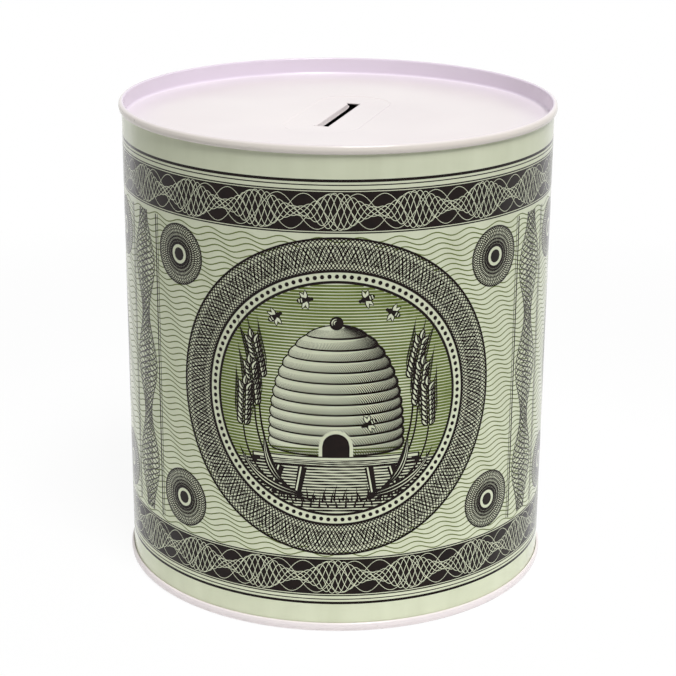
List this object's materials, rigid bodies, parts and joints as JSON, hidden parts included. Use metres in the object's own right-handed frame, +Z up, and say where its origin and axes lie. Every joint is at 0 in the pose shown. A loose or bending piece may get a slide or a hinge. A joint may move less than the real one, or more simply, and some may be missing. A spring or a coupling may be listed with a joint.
{
  "type": "tin money box",
  "caption": "Round sealed tin can for savings, with a coin slot with turned-down lips in the recessed top end and rolled double seams at both rims.",
  "frame": {"origin": "middle of the base, on the surface the can stands on", "axes": "+Z up along the can's axis, +Y along the coin slot; the print's front faces 16.4 degrees from -Y towards +X"},
  "size_m": [0.1318, 0.1318, 0.1455],
  "materials": {
    "printed_body": "gloss varnish over a printed tinplate wall",
    "white_enamel": "gloss lilac-white enamel on stamped tinplate",
    "lining_compound": "matte"
  },
  "bodies": {
    "root": {"can_body": "printed_body", "top_end": "white_enamel", "bottom_end": "white_enamel", "top_seam_compound": "lining_compound", "bottom_seam_compound": "lining_compound"}
  },
  "joints": []
}
